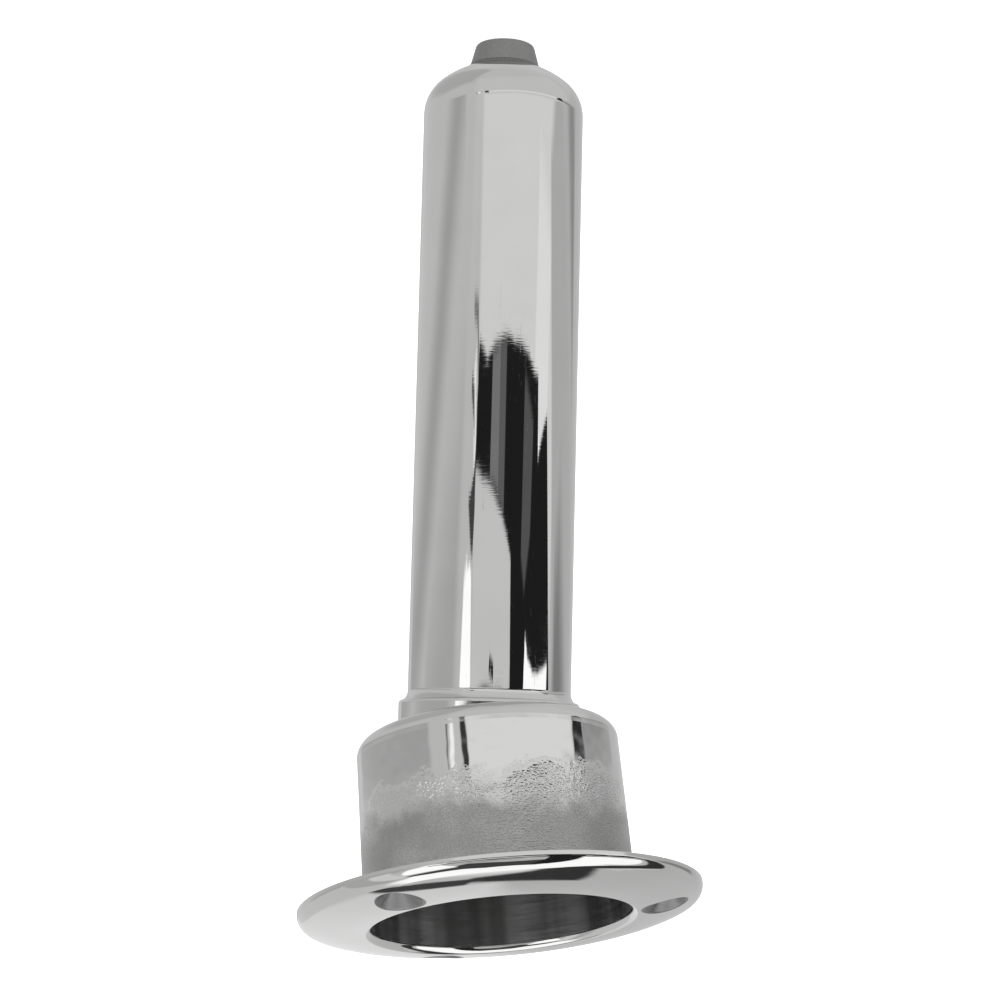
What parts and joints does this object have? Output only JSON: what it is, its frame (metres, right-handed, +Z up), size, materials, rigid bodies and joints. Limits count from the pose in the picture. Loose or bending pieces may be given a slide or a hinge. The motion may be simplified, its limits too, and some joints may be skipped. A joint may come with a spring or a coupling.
{
  "type": "rod holder",
  "caption": "Flush-mount rod and cup holder: a crowned flange over a cup, with a tilted rod tube below that ends in a dome with a drain.",
  "frame": {"origin": "centre of the flange's underside, on the deck plane and on the axis of the circle of screw holes", "axes": "+Z up out of the cup's mouth; the rod tube hangs down and leans to -X, so a rod in it leans to +X; the object is symmetric about the XZ plane"},
  "size_m": [0.1358, 0.1206, 0.2677],
  "materials": {
    "polished_flange": "mirror-polished stainless steel",
    "polished_tube": "polished stainless steel with fine lines round the tube",
    "polished_cup": "polished stainless steel",
    "cast_cup": "stainless casting, polished at the foot and left with its cast skin near the flange",
    "cast_boss": "unpolished cast stainless steel",
    "plain_pin": "drawn stainless steel bar",
    "weld_bead": "dressed stainless weld"
  },
  "bodies": {
    "root": {"mounting_flange": "polished_flange", "flange_weld": "weld_bead", "cup_barrel": "cast_cup", "cup_seam_weld": "cast_cup", "cup_floor": "polished_cup", "tube_socket": "polished_cup", "socket_weld": "polished_tube", "rod_tube": "polished_tube", "gimbal_pin": "plain_pin", "pin_tack_welds": "weld_bead", "dome_seam_weld": "polished_tube", "end_dome": "polished_tube", "boss_weld": "weld_bead", "drain_boss": "cast_boss"}
  },
  "joints": []
}
